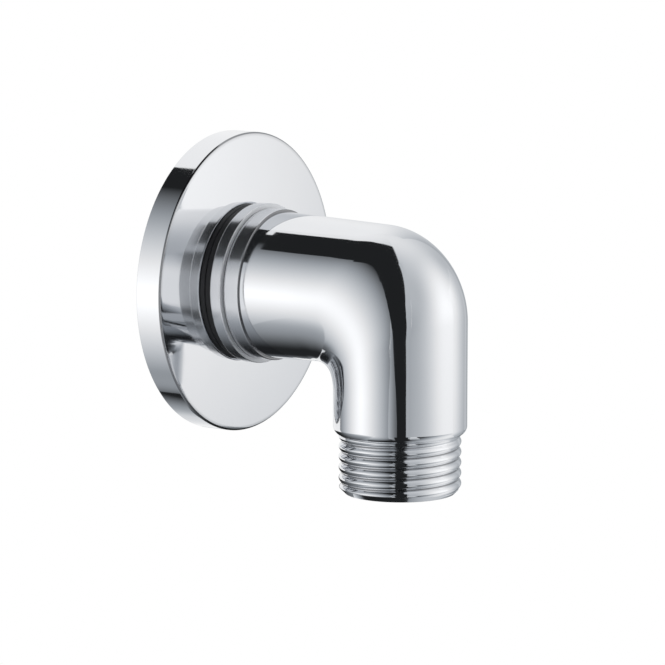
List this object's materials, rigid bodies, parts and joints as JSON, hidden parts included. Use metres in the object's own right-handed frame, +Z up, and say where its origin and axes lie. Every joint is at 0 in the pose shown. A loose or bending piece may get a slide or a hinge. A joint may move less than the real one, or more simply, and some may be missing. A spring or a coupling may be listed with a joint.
{
  "type": "wall outlet elbow",
  "caption": "Chromed elbow that carries water from a threaded wall pipe, past a round cover flange and a black seal ring, down to a threaded hose outlet.",
  "frame": {"origin": "on the inlet axis, in the wall plane, at the back of the flange's rim", "axes": "+Y into the wall along the inlet axis, -Y to the front, -Z along the outlet axis, +Z up"},
  "size_m": [0.052, 0.0579, 0.0597],
  "materials": {
    "body_chrome": "polished chrome plating on cast brass",
    "flange_chrome": "polished chrome plating on turned brass",
    "seal_rubber": "smooth black rubber"
  },
  "bodies": {
    "root": {"elbow_body": "body_chrome", "wall_flange": "flange_chrome", "seal_ring": "seal_rubber"}
  },
  "joints": []
}
